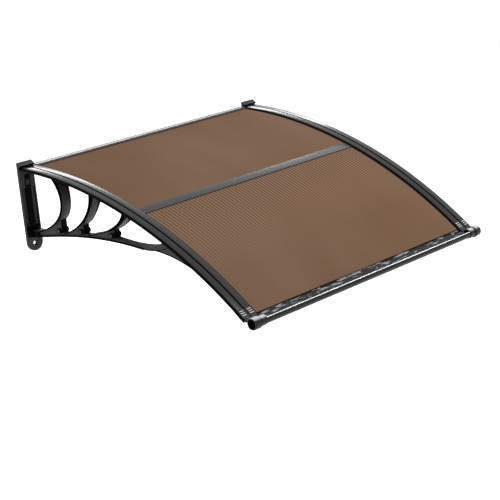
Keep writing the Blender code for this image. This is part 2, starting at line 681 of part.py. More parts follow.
BLACK_PLASTIC = material("black_plastic", (0.030, 0.030, 0.031), 0.45)
DARK_METAL = material("dark_anodised_metal", (0.075, 0.078, 0.082), 0.30, metallic=0.6)
GREY_METAL = material("grey_anodised_metal", (0.16, 0.17, 0.18), 0.35, metallic=0.6)
BRONZE_SHEET = material("bronze_sheet", (0.20, 0.115, 0.065), 0.25, alpha=0.85)
RUBBER = material("rubber", (0.02, 0.02, 0.02), 0.8)
STEEL = material("zinc_plated_steel", (0.55, 0.55, 0.56), 0.35, metallic=1.0)

make_sheet("rear_sheet", angle_at(SHEET_REAR_DEPTH), BAR_ANGLE - SEAM_GAP / ARCH_RADIUS, BRONZE_SHEET)
make_sheet("front_sheet", BAR_ANGLE + SEAM_GAP / ARCH_RADIUS, angle_at(SHEET_FRONT_DEPTH), BRONZE_SHEET)
make_middle_bar("middle_bar", GREY_METAL)
rear_width = BETWEEN_STRIPS - 2 * SIDE_PLAY
add_object("rear_rail", side_mesh("rear_rail", [rear_rail_outline()], 0.0, rear_width), DARK_METAL)
seal = rectangle((0.0, SEAL_TOP - SEAL_HEIGHT), (SEAL_THICKNESS, SEAL_TOP))
add_object("wall_seal", side_mesh("wall_seal", [seal], 0.0, rear_width), RUBBER)
make_front_gutter("front_gutter", DARK_METAL)
for word, sign in SIDES.items():
    make_bracket(f"{word}_bracket", sign, BLACK_PLASTIC)
    make_cover_strip(f"{word}_cover_strip", sign, DARK_METAL)
    cap = side_mesh(f"{word}_wall_cap", [wall_cap_outline()], sign * PLATE_CENTRE, PLATE_WIDTH)
    add_object(f"{word}_wall_cap", cap, BLACK_PLASTIC)
    make_front_clip(f"{word}_front_clip", sign, BLACK_PLASTIC)
    make_gutter_outlet(f"{word}_gutter_outlet", sign, BLACK_PLASTIC)
make_screws(STEEL)
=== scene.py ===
from math import asin, cos, pi, radians, sin

import bmesh
import bpy
from mathutils import Matrix, Vector
from mathutils.geometry import tessellate_polygon


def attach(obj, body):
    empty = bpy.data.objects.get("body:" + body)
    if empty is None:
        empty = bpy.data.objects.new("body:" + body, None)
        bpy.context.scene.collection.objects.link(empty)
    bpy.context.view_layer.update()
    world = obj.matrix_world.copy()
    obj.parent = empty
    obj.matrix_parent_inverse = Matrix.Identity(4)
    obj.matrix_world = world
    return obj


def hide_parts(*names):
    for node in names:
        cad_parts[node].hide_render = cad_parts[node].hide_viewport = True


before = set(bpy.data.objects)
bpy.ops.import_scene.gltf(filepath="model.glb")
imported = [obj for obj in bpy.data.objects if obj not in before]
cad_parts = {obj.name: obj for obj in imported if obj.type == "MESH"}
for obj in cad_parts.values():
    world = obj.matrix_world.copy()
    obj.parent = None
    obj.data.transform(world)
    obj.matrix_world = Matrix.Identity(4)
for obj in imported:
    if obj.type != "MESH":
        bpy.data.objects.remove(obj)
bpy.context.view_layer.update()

# Sizes are in metres and angles in radians. A depth is measured from the wall, a drop down from the arch.

# Overall sizes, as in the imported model
OVERALL_WIDTH = 1.000
ARCH_RADIUS = 1.500
ARCH_START_ANGLE = 0.039
STRIP_DEPTH = 0.881
BAR_DEPTH = 0.463
GAP = 0.0003
SIDE_PLAY = 0.0006
ARCH_STEPS = 56

# Cover strips
STRIP_WIDTH = 0.057
STRIP_OUTER_DROP = 0.0068
STRIP_LIP = 0.0020
STRIP_SKIN = 0.0020
STRIP_EDGE_ROUND = 0.0045
STRIP_CROWN = 0.0050
GROOVE_HALF_TOP = 0.0032
GROOVE_HALF_FLOOR = 0.0018
GROOVE_DEPTH = 0.0016
GROOVE_CHAMFER = 0.0004
GROOVE_CHAMFER_DROP = 0.0005
STRIP_ROUND_DROP = 0.0003
STRIP_ROUND_TURN = radians(75)
STRIP_ROUND_STEPS = 5
SCREW_SLOT_HALF = 0.0020
SCREW_WALL_HALF = 0.0036
SCREW_SLOT_ROOF = 0.0034

# Fluted sheets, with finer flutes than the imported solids
SHEET_TOP_DROP = 0.0057
SHEET_THICKNESS = 0.0040
SHEET_SKIN = 0.0006
SHEET_RIB = 0.0006
SHEET_EDGE = 0.0012
FLUTE_PITCH = 0.0117
SHEET_REAR_DEPTH = 0.0125
SHEET_FRONT_INSET = 0.0100

# Depths where the flute lines are clear and where they have faded. On the rear sheet both lie behind the
# wall, so its lines are faint all over.
FRONT_LINES = (0.54, 0.74)
REAR_LINES = (-0.50, -0.10)

# Wall brackets
BRACKET_INSET = 0.0310
RAIL_WIDTH = 0.034
RAIL_THICKNESS = 0.0045
STRAP_WIDTH = 0.033
STRAP_THICKNESS = 0.009
STRAP_FLARE_FALLOFF = 6
STRAP_FLANGE = 0.004
TAIL_THICKNESS = 0.0032
WEB_WIDTH = 0.022
GUSSET_WIDTH = 0.0214
PLATE_INSET = 0.0253
PLATE_WIDTH = 0.0555
PLATE_THICKNESS = 0.008
PLATE_BOTTOM = -0.2565
PLATE_HOLE_RADIUS = 0.0050
PLATE_SEAT_RADIUS = 0.0085
PLATE_SEAT_DEPTH = 0.0045
PLATE_LIP = 0.0030
ARM_FOOT_Z = -0.1560
PLATE_MIDDLE_HALF = 0.0100
PLATE_POCKET_Z = (-0.1760, -0.0640)
PLATE_RIB_TOP = -0.0240
COLLAR_DEPTH = 0.0115
COLLAR_Z = (-0.2130, -0.1780)
SLEEVE_DEPTH = 0.0400
SLEEVE_Z = (-0.2120, -0.1925)
PLATE_HOLES_Z = (-0.0480, -0.2330)
BOSS_RADIUS = 0.0085
BOSS_PROUD = 0.0010

# Bracket outlines as (depth, z), most of them the four points of a curve
BOSSES = ((0.138, -0.180), (0.237, -0.171), (0.370, -0.167))
ARM_UNDERSIDE = ((0.0030, -0.2130), (0.0573, -0.2157), (0.2495, -0.1640), (0.5000, -0.1920))
CURL_UNDERSIDE = ((0.5000, -0.1920), (0.5350, -0.1945), (0.5700, -0.1870), (0.6130, -0.1690))
CURL_TOP = ((0.5920, -0.1585), (0.5450, -0.1860), (0.4600, -0.1840), (0.3790, -0.1730))
GUSSET_EDGE = ((0.5300, -0.1890), (0.6146, -0.1950), (0.6500, -0.2070), (0.7550, -0.2530))
GUSSET_ROOT = (0.5300, -0.1840)
GUSSET_RAIL_START = 0.591
ARM_TOP_AT_WALL = -0.1940

# Each crescent: the four points of its line, its foot on the arm and how much its top widens
CRESCENTS = (
    (((0.1300, -0.0228), (0.1830, -0.0780), (0.1805, -0.1540), (0.0400, -0.1935)), (0.147, -0.1855), 0.016),
    (((0.2925, -0.0525), (0.2935, -0.1080), (0.2395, -0.1610), (0.1620, -0.1845)), (0.247, -0.1780), 0.010),
    (((0.4260, -0.0925), (0.4200, -0.1280), (0.3600, -0.1590), (0.2700, -0.1760)), (0.379, -0.1730), 0.010),
)

# Bracket rims, rounding and curve steps
TAIL_START = 0.012
TAIL_LEAD = 2
TAIL_BLEND = 5
ARM_RIM = (0.0056, 0.0030)
CURL_RIM = (0.0024, 0.0012)
GUSSET_RIM = (0.0024, 0.0018)
EDGE_RIM_EXTRA = 0.002
RIM_ROUND = 0.0008
FLANGE_ROUND = 0.0006
PLATE_ROUND = 0.0006
COLLAR_ROUND = 0.0015
SLEEVE_ROUND = 0.0010
RIM_STEPS = 28
ARM_STEPS = 40
WEB_STEPS = 24
CURL_UNDER_STEPS = 10
CURL_TOP_STEPS = 16
GUSSET_STEPS = 20
GUSSET_RAIL_STEPS = 12
PLATE_ROUND_STEPS = 28
HOLE_SIDES = 32

# Round eyes and the painted shade strips under them
BOSS_RIM_WIDTH = 0.0010
BOSS_RIM_ROUND = 0.0006
BOSS_RIM_DROP = 0.0012
BOSS_DISC_INSET = 0.0026
BOSS_DISC_SUNK = 0.0004
BOSS_CENTRE_SUNK = 0.0001
BOSS_GROOVE_DEPTH = 0.0030
BOSS_GROOVE_SLANT = 0.0002
BOSS_SIDES = 40
SHADE_STRIP_OFFSET = 0.0085
SHADE_STRIP_WIDTH = 0.0025
SHADE_STRIP_OVER_RIM = 0.0050
SHADE_STRIP_UNDER_BOSS = 0.0060

# Middle bar, rear rail, seal and wall caps
BAR_WIDTH = 0.030
BAR_PROUD = 0.0021
BAR_FLANGE = 0.0018
BAR_WEB_HALF = 0.0012
BAR_LOWER_HALF = 0.011
BAR_EDGE_ROUND = 0.0008
BAR_SOFTENED = 0.0002
SEAL_THICKNESS = 0.0017
SEAL_HEIGHT = 0.0170
SEAL_TOP = 0.0006
SEAL_ROUND = 0.0004
REAR_RAIL_DEPTH = 0.0220
REAR_RAIL_SKIN = 0.0016
REAR_RAIL_ROUND = 0.0030
REAR_RAIL_ROUND_STEPS = 6
CAP_BODY_DEPTH = 0.0100
CAP_HOOD_DEPTH = 0.0155
CAP_HEIGHT = 0.0145
CAP_NOSE = 0.0040
CAP_STEPS = 3
CAP_STEP_SLANT = 0.0006
CAP_STEP_RUN = 0.0030
CAP_BACK_DROP = 0.0004
CAP_ROUND = 0.0004

# Front clips, gutter and outlets
CLIP_LENGTH = 0.0360
CLIP_STEPS = 6
CLIP_RIBS = 3
CLIP_RIB_SPACING = 0.0070
CLIP_RIB_MARGIN = 0.0030
CLIP_RIB_HALF_LENGTH = 0.0072
CLIP_RIB_HALF_WIDTH = 0.0011
CLIP_RIB_SUNK = 0.0006
CLIP_RIB_PROUD = 0.0009
CLIP_RIB_ROUND = 0.0006
GUTTER_REACH = 0.0205
GUTTER_DROP = 0.0085
GUTTER_RADIUS = 0.0127
GUTTER_WALL = 0.0016
GUTTER_RIM_ANGLE = radians(40)
GUTTER_REAR_ANGLE = radians(-185)
GUTTER_RIM_RADIUS = 0.0018
GUTTER_OVERHANG = 0.0250
GUTTER_APRON_GRIP = 0.0160
GUTTER_APRON_LEAN = 0.0004
GUTTER_OUTER_STEPS = 48
GUTTER_INNER_STEPS = 40
BEAD_STEPS = 10
BEAD_START = pi / 6
BEAD_TUCK = 0.1
BEAD_REACH = 1.25
OUTLET_LENGTH = 0.0470
OUTLET_WALL = 0.0016
OUTLET_BAND = 0.0230
OUTLET_BAND_PROUD = 0.0024
OUTLET_OVERLAP = 0.0200
OUTLET_GROOVE = 0.0034
OUTLET_GROOVE_DEPTH = 0.0010
OUTLET_GROOVE_SLANT = 0.0003
OUTLET_STEP_SLANT = 0.0001
OUTLET_ROUND = 0.0004
OUTLET_BORE_ROUND = 0.0003
OUTLET_NOSE = ((0.0, 0.0040), (0.0004, 0.0014), (0.0012, 0.0))
OUTLET_SIDES = 64

# Share of a face's normal along a direction past which the face counts as looking that way
FACES_SIDEWAYS = 0.6
FACES_ONE_WAY = 0.5
FACES_STRAIGHT = 0.7
FACES_UP = 0.85
SHADED_EDGE_SLOPE = 0.2

# Mesh limits
MERGE_DISTANCE = 1e-7
SHORTEST_EDGE = 1e-8
ROUNDED_FROM = radians(35)
SMOOTH_UP_TO = radians(32)

# Sockets of the Mix node when it mixes colours
MIX_SHARE, MIX_FIRST, MIX_SECOND, MIX_RESULT = 0, 6, 7, 2

# Camera, solved from the photograph, with its focal length in pixels of a picture this wide
CAMERA_AZIMUTH = radians(-44.9083)
CAMERA_ELEVATION = radians(15.4607)
CAMERA_ROLL = radians(-5.4434)
CAMERA_AIM = (0.0, -0.5, -0.1)
CAMERA_DISTANCE = 4.411
CAMERA_LEFT = 0.0331
CAMERA_DOWN = 0.2108
FOCAL_PIXELS = 1502.9
PICTURE_WIDTH = 500
SENSOR_WIDTH = 36.0

# Lamps: name, place, the point it faces, size and power
LAMPS = (
    ("key", (0.6, -3.2, 3.0), (0.0, -0.4, -0.1), (2.2, 2.2), 44.0),
    ("edge", (2.1, -1.85, 1.75), (0.0, -0.88, -0.33), (0.3, 2.6), 20.0),
    ("rear_glow", (3.6, 3.4, 1.93), (0.0, -0.1, 0.0), (3.0, 0.7), 50.0),
)
SOFT_COLOUR = (0.96, 0.98, 1.0, 1.0)
SOFT_STRENGTH = 0.55
WHITE = (1.0, 1.0, 1.0, 1.0)
FLOOR_REACH = 9.0
FLOOR_LEVEL = -1.35

# Worked out from the sizes above
ARCH_CENTRE_Y = ARCH_RADIUS * sin(ARCH_START_ANGLE)
ARCH_CENTRE_Z = -ARCH_RADIUS * cos(ARCH_START_ANGLE)
STRIP_CENTRE = OVERALL_WIDTH / 2 - STRIP_WIDTH / 2
SHEET_BOTTOM_DROP = SHEET_TOP_DROP + SHEET_THICKNESS
STRIP_INNER_DROP = SHEET_TOP_DROP - GAP
RAIL_TOP_DROP = SHEET_BOTTOM_DROP + GAP
RAIL_BOTTOM_DROP = RAIL_TOP_DROP + RAIL_THICKNESS
BRACKET_CENTRE = OVERALL_WIDTH / 2 - BRACKET_INSET
PLATE_CENTRE = OVERALL_WIDTH / 2 - PLATE_INSET
BETWEEN_STRIPS = OVERALL_WIDTH - 2 * STRIP_WIDTH
SHEET_WIDTH = 2 * (STRIP_CENTRE - SCREW_WALL_HALF - SIDE_PLAY)
SEAM_GAP = BAR_WEB_HALF + SIDE_PLAY
SHEET_FRONT_DEPTH = STRIP_DEPTH - SHEET_FRONT_INSET
GUTTER_DEPTH = STRIP_DEPTH + GUTTER_REACH
RAIL_MIDDLE_DROP = (RAIL_TOP_DROP + RAIL_BOTTOM_DROP) / 2
SIDES = {"left": -1, "right": 1}


# Outlines


def angle_at(depth):
    """Angle from upright of the arch's radius at this depth from the wall."""
    return asin(depth / ARCH_RADIUS + sin(ARCH_START_ANGLE))


BAR_ANGLE = angle_at(BAR_DEPTH)
END_ANGLE = angle_at(STRIP_DEPTH)
GUTTER_Z = ARCH_CENTRE_Z + ARCH_RADIUS * cos(END_ANGLE) - GUTTER_DROP
FORWARD_AT_END = Vector((0.0, -cos(END_ANGLE), -sin(END_ANGLE)))

# The wave texture repeats 20 times over 2 pi divided by its scale
LINE_SCALE = 2 * pi / (20 * FLUTE_PITCH)


def spaced(low, high, count):
    return [low + (high - low) * i / count for i in range(count + 1)]


def arch_point(x, up, angle):
    """World point at this height over the arch."""
    radius = ARCH_RADIUS + up
    return Vector((x, ARCH_CENTRE_Y - radius * sin(angle), ARCH_CENTRE_Z + radius * cos(angle)))


def side_point(up, angle):
    """The same point as (depth, z) in the side view."""
    point = arch_point(0.0, up, angle)
    return (-point.y, point.z)


def bezier(points, count):
    """Curve from the first of four points to the last, drawn by the two between."""
    a, b, c, d = points
    curve = []
    for t in spaced(0.0, 1.0, count):
        s = 1 - t
        weights = (s * s * s, 3 * s * s * t, 3 * s * t * t, t * t * t)
        curve.append(tuple(sum(w * p[i] for w, p in zip(weights, (a, b, c, d))) for i in (0, 1)))
    return curve


def arc(centre, radius, start, end, count):
    return [(centre[0] + radius * cos(a), centre[1] + radius * sin(a)) for a in spaced(start, end, count)]


def circle(centre, radius, sides):
    return arc(centre, radius, 0.0, 2 * pi, sides)[:-1]


def rectangle(low, high):
    return [(low[0], low[1]), (high[0], low[1]), (high[0], high[1]), (low[0], high[1])]


def offset(points, distances):
    """A line beside the given one, on its left-hand side, at these distances."""
    moved = []
    for i, (x, y) in enumerate(points):
        before = points[max(i - 1, 0)]
        after = points[min(i + 1, len(points) - 1)]
        along = (after[0] - before[0], after[1] - before[1])
        length = (along[0] ** 2 + along[1] ** 2) ** 0.5
        moved.append((x - along[1] / length * distances[i], y + along[0] / length * distances[i]))
    return moved


# Mesh making


def swept(loops, place, stations):
    """Closed shape from flat loops, the first outside and the rest holes, placed at each station."""
    shaped = bmesh.new()
    rings = []
    for station in stations:
        rings.append([[shaped.verts.new(place(a, b, station)) for a, b in loop] for loop in loops])
    for near, far in zip(rings, rings[1:]):
        for one, other in zip(near, far):
            count = len(one)
            for i in range(count):
                j = (i + 1) % count
                shaped.faces.new((one[i], one[j], other[j], other[i]))
    flat = [[Vector((a, b, 0.0)) for a, b in loop] for loop in loops]
    for end in (rings[0], rings[-1]):
        corners = [vert for loop in end for vert in loop]
        if len(loops) == 1:
            shaped.faces.new(corners)
            continue
        for triangle in tessellate_polygon(flat):
            shaped.faces.new([corners[i] for i in triangle])
    bmesh.ops.recalc_face_normals(shaped, faces=shaped.faces)
    if shaped.calc_volume(signed=True) < 0:
        bmesh.ops.reverse_faces(shaped, faces=shaped.faces)
    return shaped


def along_arch(loops, start, end, steps=ARCH_STEPS):
    return swept(loops, arch_point, spaced(start, end, steps))


def along_x(loops, x, width):
    """Loops in the side view, as (depth, z), made this wide."""
    return swept(loops, lambda depth, z, at: Vector((at, -depth, z)), (x - width / 2, x + width / 2))


def from_wall(loops, near, far):
    """Loops in the front view, as (x, z), between two depths."""
    return swept(loops, lambda x, z, depth: Vector((x, -depth, z)), (near, far))


def turned(profile, sides, matrix):
    """A closed profile, as (radius, height), turned round an axis and then placed."""
    shaped = bmesh.new()
    rings = []
    for step in range(sides):
        turn = 2 * pi * step / sides
        points = [matrix @ Vector((r * cos(turn), r * sin(turn), h)) for r, h in profile]
        rings.append([shaped.verts.new(point) for point in points])
    count = len(profile)
    for near, far in zip(rings, rings[1:] + rings[:1]):
        for i in range(count):
            j = (i + 1) % count
            shaped.faces.new((near[i], near[j], far[j], far[i]))
    bmesh.ops.remove_doubles(shaped, verts=shaped.verts, dist=MERGE_DISTANCE)
    bmesh.ops.dissolve_degenerate(shaped, edges=shaped.edges, dist=SHORTEST_EDGE)
    bmesh.ops.recalc_face_normals(shaped, faces=shaped.faces)
    return shaped


def softened(shaped, width):
    """Rounds the sharp edges."""
    shared = [edge for edge in shaped.edges if len(edge.link_faces) == 2]
    sharp = [edge for edge in shared if edge.calc_face_angle() > ROUNDED_FROM]
    bmesh.ops.bevel(
        shaped, geom=sharp, offset=width, offset_type="OFFSET", segments=2,
        profile=0.5, affect="EDGES", clamp_overlap=True,
    )
    return shaped


def painted(shaped, index):
    for face in shaped.faces:
        face.material_index = index
    return shaped


def joined(parts):
    """Puts several shapes in one."""
    whole = bmesh.new()
    for part in parts:
        carried = bpy.data.meshes.new("carried")
        part.to_mesh(carried)
        part.free()
        whole.from_mesh(carried)
        bpy.data.meshes.remove(carried)
    return whole


def piece(name, shaped, finishes):
    """Puts a shape in the scene in place of the CAD node of its name."""
    mesh = bpy.data.meshes.new(name)
    shaped.to_mesh(mesh)
    shaped.free()
    for finish in finishes:
        mesh.materials.append(finish)
    made = bpy.data.objects.new(name, mesh)
    bpy.context.scene.collection.objects.link(made)
    mesh.shade_smooth()
    mesh.set_sharp_from_angle(angle=SMOOTH_UP_TO)
    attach(made, "root")
    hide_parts(name)


# Materials


def link(tree, source, target):
    tree.links.new(source, target)


class Finish:
    """A Principled material whose colour, roughness and bump come from nodes in object space."""

    def __init__(self, name, colour, roughness, **sockets):
        self.material = bpy.data.materials.new(name)
        self.material.use_nodes = True
        self.tree = self.material.node_tree
        self.shader = self.tree.nodes["Principled BSDF"]
        self.shader.inputs["Base Color"].default_value = (*colour, 1.0)
        self.shader.inputs["Roughness"].default_value = roughness
        for socket, value in sockets.items():
            self.shader.inputs[socket.replace("_", " ")].default_value = value
        self.material.diffuse_color = (*colour, 1.0)
        self.colour = colour
        self.place = self.tree.nodes.new("ShaderNodeTexCoord").outputs["Object"]

    def stretched(self, scale):
        mapping = self.tree.nodes.new("ShaderNodeMapping")
        mapping.inputs["Scale"].default_value = scale
        link(self.tree, self.place, mapping.inputs["Vector"])
        return mapping.outputs["Vector"]

    def noise(self, scale, stretch=(1, 1, 1), detail=3.0):
        made = self.tree.nodes.new("ShaderNodeTexNoise")
        made.inputs["Scale"].default_value = scale
        made.inputs["Detail"].default_value = detail
        link(self.tree, self.stretched(stretch), made.inputs["Vector"])
        return made.outputs["Fac"]

    def bands(self, scale):
        """Even bands that follow one another along X."""
        made = self.tree.nodes.new("ShaderNodeTexWave")
        made.bands_direction = "X"
        made.inputs["Scale"].default_value = scale
        link(self.tree, self.place, made.inputs["Vector"])
        return made.outputs["Fac"]

    def split(self, vector, axis):
        apart = self.tree.nodes.new("ShaderNodeSeparateXYZ")
        link(self.tree, vector, apart.inputs[0])
        return apart.outputs[axis]

    def upward(self):
        """How far the surface faces up."""
        return self.split(self.place.node.outputs["Normal"], "Z")

    def times(self, one, other):
        made = self.tree.nodes.new("ShaderNodeMath")
        made.operation = "MULTIPLY"
        link(self.tree, one, made.inputs[0])
        link(self.tree, other, made.inputs[1])
        return made.outputs[0]

    def ranged(self, value, low, high, start=0.3, end=0.7):
        """Low where the value is start or less, high where it is end or more, even between."""
        made = self.tree.nodes.new("ShaderNodeMapRange")
        made.inputs["From Min"].default_value = start
        made.inputs["From Max"].default_value = end
        made.inputs["To Min"].default_value = low
        made.inputs["To Max"].default_value = high
        link(self.tree, value, made.inputs["Value"])
        return made.outputs["Result"]

    def tint(self, share, other, before=None):
        """Mixes another colour over the one so far."""
        made = self.tree.nodes.new("ShaderNodeMix")
        made.data_type = "RGBA"
        made.inputs[MIX_FIRST].default_value = (*self.colour, 1.0)
        made.inputs[MIX_SECOND].default_value = (*other, 1.0)
        if before:
            link(self.tree, before, made.inputs[MIX_FIRST])
        link(self.tree, share, made.inputs[MIX_SHARE])
        link(self.tree, made.outputs[MIX_RESULT], self.shader.inputs["Base Color"])
        return made.outputs[MIX_RESULT]

    def rough(self, value):
        link(self.tree, value, self.shader.inputs["Roughness"])

    def bump(self, height, strength, distance):
        made = self.tree.nodes.new("ShaderNodeBump")
        made.inputs["Strength"].default_value = strength
        made.inputs["Distance"].default_value = distance
        link(self.tree, height, made.inputs["Height"])
        link(self.tree, made.outputs["Normal"], self.shader.inputs["Normal"])


def moulded_plastic(name, colour, lighter, roughness, shine):
    """Moulded black plastic with a fine grain and faint flow marks."""
    finish = Finish(name, colour, roughness, Specular_IOR_Level=shine)
    finish.tint(finish.ranged(finish.noise(38.0, (1, 1, 0.35)), 0.0, 0.6), lighter)
    finish.rough(finish.ranged(finish.noise(55.0), roughness - 0.06, roughness + 0.08))
    finish.bump(finish.noise(1500.0, detail=2.0), 0.25, 0.00012)
    return finish.material


def anodised(name, colour, lighter, roughness, stretch, metallic, shine=0.5):
    """Anodised metal with drawing lines along its length and a few duller patches."""
    finish = Finish(name, colour, roughness, Metallic=metallic, Specular_IOR_Level=shine)
    finish.tint(finish.ranged(finish.noise(60.0, stretch), 0.0, 0.5), lighter)
    finish.rough(finish.ranged(finish.noise(8.0), roughness - 0.05, roughness + 0.07))
    finish.bump(finish.noise(260.0, stretch, 2.0), 0.04, 0.0001)
    return finish.material


def painted_top_highlight(name, colour, light, roughness):
    """Black plastic with a light colour painted as a highlight where it faces up."""
    finish = Finish(name, colour, roughness, Specular_IOR_Level=0.2)
    finish.tint(finish.ranged(finish.upward(), 0.0, 1.0, 0.62, 0.88), light)
    finish.rough(finish.ranged(finish.noise(55.0), roughness - 0.05, roughness + 0.06))
    finish.bump(finish.noise(900.0, detail=2.0), 0.15, 0.0001)
    return finish.material


def painted_channel_reflections():
    """Dark metal with slanting light patches painted as blurred reflections."""
    finish = Finish("channel_metal", (0.007, 0.007, 0.008), 0.30, Specular_IOR_Level=0.15)
    reflection_patches = finish.noise(60.0, (0.5, 2.0, 2.0), 3.0)
    finish.tint(finish.ranged(reflection_patches, 0.0, 1.0, 0.545, 0.615), (0.36, 0.37, 0.39))
    finish.rough(finish.ranged(finish.noise(20.0), 0.22, 0.40))
    finish.bump(finish.noise(60.0), 0.20, 0.0008)
    return finish.material


def bronze_sheet(name, clear_at, faint_at):
    """Bronze twin-wall plastic with soft cloudy bands. Its flute lines are clear up to one depth and fade
    towards another."""
    base, warm = (0.222, 0.128, 0.077), (0.292, 0.181, 0.121)
    light, dark = (0.345, 0.208, 0.133), (0.145, 0.083, 0.052)
    finish = Finish(name, base, 0.42, Specular_IOR_Level=0.0)
    clouds = finish.tint(finish.ranged(finish.noise(3.2, (1.0, 0.55, 0.55), 2.0), 0.0, 0.75), warm)
    clear = finish.ranged(finish.split(finish.place, "Y"), 1.0, 0.0, -clear_at, -faint_at)
    lit = finish.tint(finish.ranged(clear, 0.0, 0.9, 0.0, 1.0), light, clouds)
    lines = finish.ranged(finish.bands(LINE_SCALE), 0.0, 1.0, 0.1, 0.9)
    finish.tint(finish.times(lines, finish.ranged(clear, 0.26, 1.0, 0.0, 1.0)), dark, lit)
    finish.rough(finish.ranged(finish.noise(20.0), 0.34, 0.48))
    finish.bump(finish.bands(LINE_SCALE), 0.15, 0.0002)
    return finish.material


def rubber():
    finish = Finish("seal_rubber", (0.018, 0.018, 0.018), 0.8, Specular_IOR_Level=0.3)
    finish.tint(finish.ranged(finish.noise(120.0), 0.0, 0.5), (0.035, 0.034, 0.033))
    finish.bump(finish.noise(700.0), 0.4, 0.0002)
    return finish.material


def plated_steel():
    finish = Finish("screw_steel", (0.52, 0.52, 0.53), 0.32, Metallic=1.0)
    finish.tint(finish.ranged(finish.noise(300.0), 0.0, 0.6), (0.36, 0.35, 0.33))
    finish.rough(finish.ranged(finish.noise(240.0), 0.25, 0.45))
    return finish.material


ALONG_ARCH, ALONG_X = (1, 0.03, 0.03), (0.03, 1, 1)
# Near-black copy of the black plastic, painted as shade on side faces, grooves, recesses and undersides
SHADE_BLACK = moulded_plastic("black_plastic_painted_shade", (0.0018, 0.0018, 0.0019), (0.004,) * 3, 0.40, 0.03)
BLACK_WEB = moulded_plastic("black_plastic_web", (0.036, 0.036, 0.037), (0.052, 0.052, 0.053), 0.50, 0.25)
BLACK_PART = moulded_plastic("black_plastic_part", (0.010, 0.010, 0.011), (0.018, 0.018, 0.019), 0.34, 0.25)
# Outlet plastic with a painted highlight on its upward faces
OUTLET_PLASTIC = painted_top_highlight("outlet_plastic", (0.010, 0.010, 0.011), (0.70, 0.70, 0.71), 0.30)
# Grey painted as highlights on the cap's slanted ridges
CAP_RIDGE_HIGHLIGHT = moulded_plastic("cap_ridge_painted_highlight", (0.09, 0.09, 0.093), (0.13, 0.13, 0.135), 0.30, 0.30)
STRIP_METAL = anodised("strip_metal", (0.020, 0.020, 0.021), (0.028, 0.028, 0.03), 0.17, ALONG_ARCH, 0, 0.22)
GUTTER_METAL = anodised("gutter_metal", (0.014, 0.015, 0.016), (0.030, 0.031, 0.032), 0.3, ALONG_X, 0, 0.12)
# Light metal painted as the highlight along the gutter's rolled rim
RIM_HIGHLIGHT_METAL = anodised("rim_painted_highlight", (0.48, 0.48, 0.49), (0.60, 0.60, 0.60), 0.22, ALONG_X, 1.0)
RAIL_METAL = anodised("rail_metal", (0.085, 0.085, 0.087), (0.13, 0.13, 0.135), 0.24, ALONG_X, 0.0, 0.20)
BAR_METAL = anodised("bar_metal", (0.058, 0.059, 0.061), (0.085, 0.086, 0.089), 0.30, ALONG_X, 0.0, 0.30)
# Light grey painted as the highlights on the clip's small ribs
CLIP_RIB_HIGHLIGHT = anodised("clip_rib_painted_highlight", (0.70, 0.70, 0.70), (0.80, 0.80, 0.80), 0.30, (1, 1, 1), 0.2)
# Inside of the gutter, with painted reflections
CHANNEL_METAL = painted_channel_reflections()
BRONZE_REAR = bronze_sheet("bronze_rear", *REAR_LINES)
BRONZE_FRONT = bronze_sheet("bronze_front", *FRONT_LINES)
RUBBER = rubber()
STEEL = plated_steel()


# Sheets, strips and clips


def make_sheet(name, start, end, finish):
    """Twin-wall sheet whose flutes are open at both ends."""
    half = SHEET_WIDTH / 2
    loops = [rectangle((-half, -SHEET_BOTTOM_DROP), (half, -SHEET_TOP_DROP))]
    count = int((SHEET_WIDTH - 2 * SHEET_EDGE) / FLUTE_PITCH)
    low, high = -SHEET_BOTTOM_DROP + SHEET_SKIN, -SHEET_TOP_DROP - SHEET_SKIN
    flute = (FLUTE_PITCH - SHEET_RIB) / 2
    for number in range(count):
        centre = (number - (count - 1) / 2) * FLUTE_PITCH
        loops.append(rectangle((centre - flute, low), (centre + flute, high)))
    piece(name, along_arch(loops, start, end, ARCH_STEPS // 2), [finish])


def strip_x(side, outward):
    return side * (STRIP_CENTRE + outward)


def strip_top():
    """Rounded top of the strip from its outer edge to its inner edge, with a groove between two bands."""
    half = STRIP_WIDTH / 2
    shoulder = STRIP_EDGE_ROUND
    centre = (half - shoulder, -shoulder - STRIP_ROUND_DROP)
    outer = arc(centre, shoulder, 0.0, STRIP_ROUND_TURN, STRIP_ROUND_STEPS)
    outer += [(half - STRIP_CROWN, 0.0), (GROOVE_HALF_TOP + GROOVE_CHAMFER, 0.0)]
    outer += [(GROOVE_HALF_TOP, -GROOVE_CHAMFER_DROP), (GROOVE_HALF_FLOOR, -GROOVE_DEPTH)]
    return outer + [(-outward, up) for outward, up in reversed(outer)]


def side_section(side, section):
    return [(strip_x(side, outward), up) for outward, up in section]


def make_cover_strip(name, side):
    half = STRIP_WIDTH / 2
    inner = half - STRIP_LIP
    foot = -SHEET_BOTTOM_DROP
    slot = [(-SCREW_WALL_HALF, foot), (-SCREW_SLOT_HALF, foot), (-SCREW_SLOT_HALF, -SCREW_SLOT_ROOF)]
    slot += [(-outward, up) for outward, up in reversed(slot)]
    section = [(half, -STRIP_OUTER_DROP)] + strip_top()
    section += [(-half, -STRIP_INNER_DROP), (-inner, -STRIP_INNER_DROP), (-inner, -STRIP_SKIN)]
    section += [(-SCREW_WALL_HALF, -STRIP_SKIN)] + slot + [(SCREW_WALL_HALF, -STRIP_SKIN)]
    section += [(inner, -STRIP_SKIN), (inner, -STRIP_OUTER_DROP)]
    start = angle_at(CAP_BODY_DEPTH + SIDE_PLAY)
    end = END_ANGLE - (CLIP_LENGTH + GAP) / ARCH_RADIUS
    shape = along_arch([side_section(side, section)], start, end)
    # The strip's side faces and its groove are painted near-black as shade
    shape.normal_update()
    for face in shape.faces:
        outward = abs(face.calc_center_median().x - strip_x(side, 0.0))
        in_groove = outward < GROOVE_HALF_TOP + GAP
        face.material_index = 1 if abs(face.normal.x) > SHADED_EDGE_SLOPE or in_groove else 0
    piece(name, shape, [STRIP_METAL, SHADE_BLACK])


